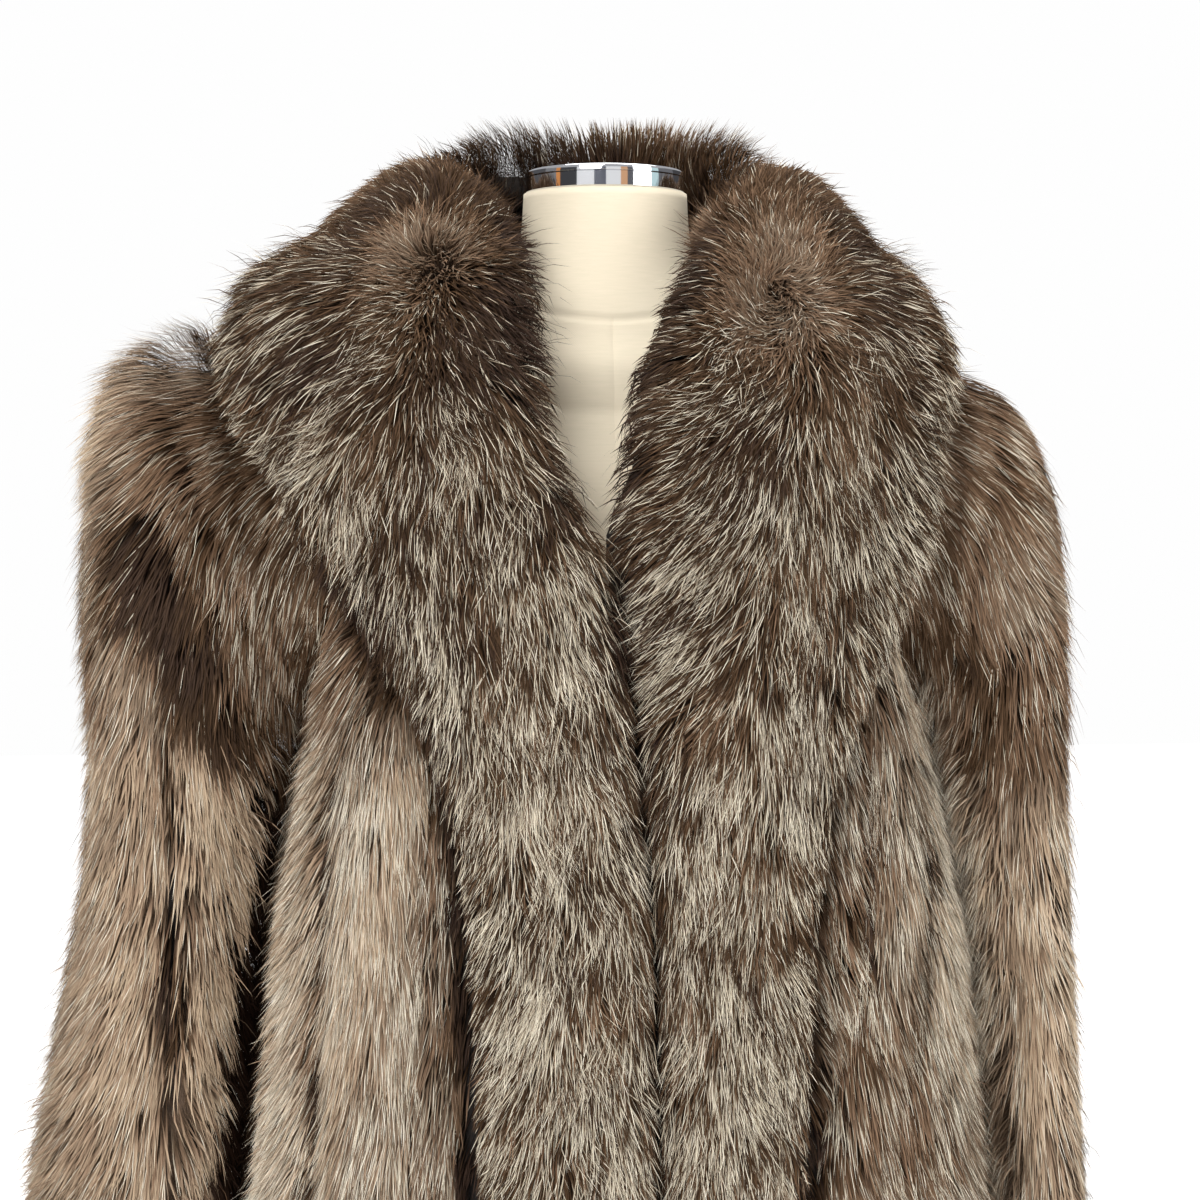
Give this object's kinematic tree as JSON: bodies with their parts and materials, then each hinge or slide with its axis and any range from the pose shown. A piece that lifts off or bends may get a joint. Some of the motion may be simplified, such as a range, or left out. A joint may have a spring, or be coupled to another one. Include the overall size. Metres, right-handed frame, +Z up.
{
  "type": "fur coat on a limbless dress form",
  "caption": "Long-haired fur coat with a very wide shawl collar and pelts in vertical strips, worn by a linen dress form with a chrome neck cap on a pole stand.",
  "frame": {"origin": "on the floor, at the centre of the stand's round base and on the axis of its pole", "axes": "+Z up, -Y to the front of the coat, +X to the wearer's left"},
  "size_m": [0.788, 0.4666, 1.5369],
  "materials": {
    "pelt_body": "long silky fur in vertical pelts, tan and grey-brown",
    "pelt_sleeve": "long silky fur, tan with dark grey patches",
    "pelt_collar": "long dense fur, dark grey-brown with cream tips",
    "linen": "plain woven cream linen, sewn in panels",
    "chrome": "polished",
    "steel": "satin"
  },
  "bodies": {
    "root": {"coat_back": "pelt_body", "coat_front_right": "pelt_body", "coat_front_left": "pelt_body", "sleeve_right": "pelt_sleeve", "sleeve_left": "pelt_sleeve", "collar_right": "pelt_collar", "collar_left": "pelt_collar", "form_body": "linen", "form_neck_cap": "chrome", "stand_pole": "steel", "stand_base": "steel"}
  },
  "joints": []
}
